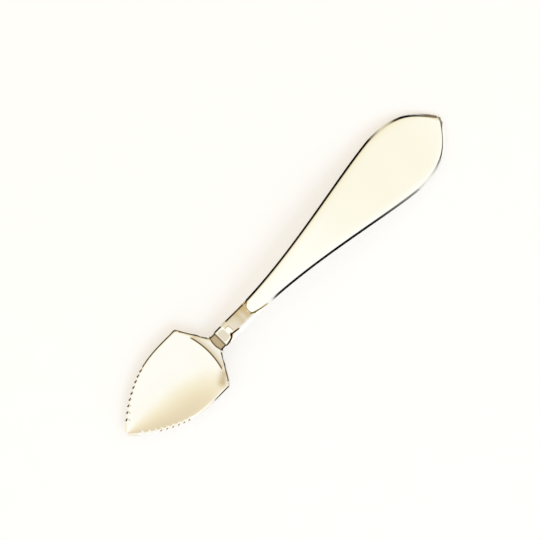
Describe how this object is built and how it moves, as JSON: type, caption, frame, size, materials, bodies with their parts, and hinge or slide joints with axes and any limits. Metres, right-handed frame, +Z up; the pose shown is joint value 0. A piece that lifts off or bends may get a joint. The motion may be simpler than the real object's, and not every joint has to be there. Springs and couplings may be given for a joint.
{
  "type": "grapefruit spoon",
  "caption": "Citrus spoon with a pointed, toothed bowl set by its tang in a hollow two-shell handle that widens to a blunt point.",
  "frame": {"origin": "middle of the spoon's box at the height of the table that it lies on", "axes": "+X along the spoon from the bowl's tip to the handle's tip, +Y across it, +Z up out of the bowl"},
  "size_m": [0.15, 0.0268, 0.014],
  "materials": {
    "bowl_steel": "mirror-polished stainless steel",
    "collar_metal": "polished nickel silver, darker in its groove",
    "handle_metal": "mirror-polished silver plate",
    "cement": "dull set cement, sealed inside"
  },
  "bodies": {
    "root": {"bowl": "bowl_steel", "neck_collar": "collar_metal", "handle_front_shell": "handle_metal", "handle_back_shell": "handle_metal", "tang_cement": "cement"}
  },
  "joints": []
}
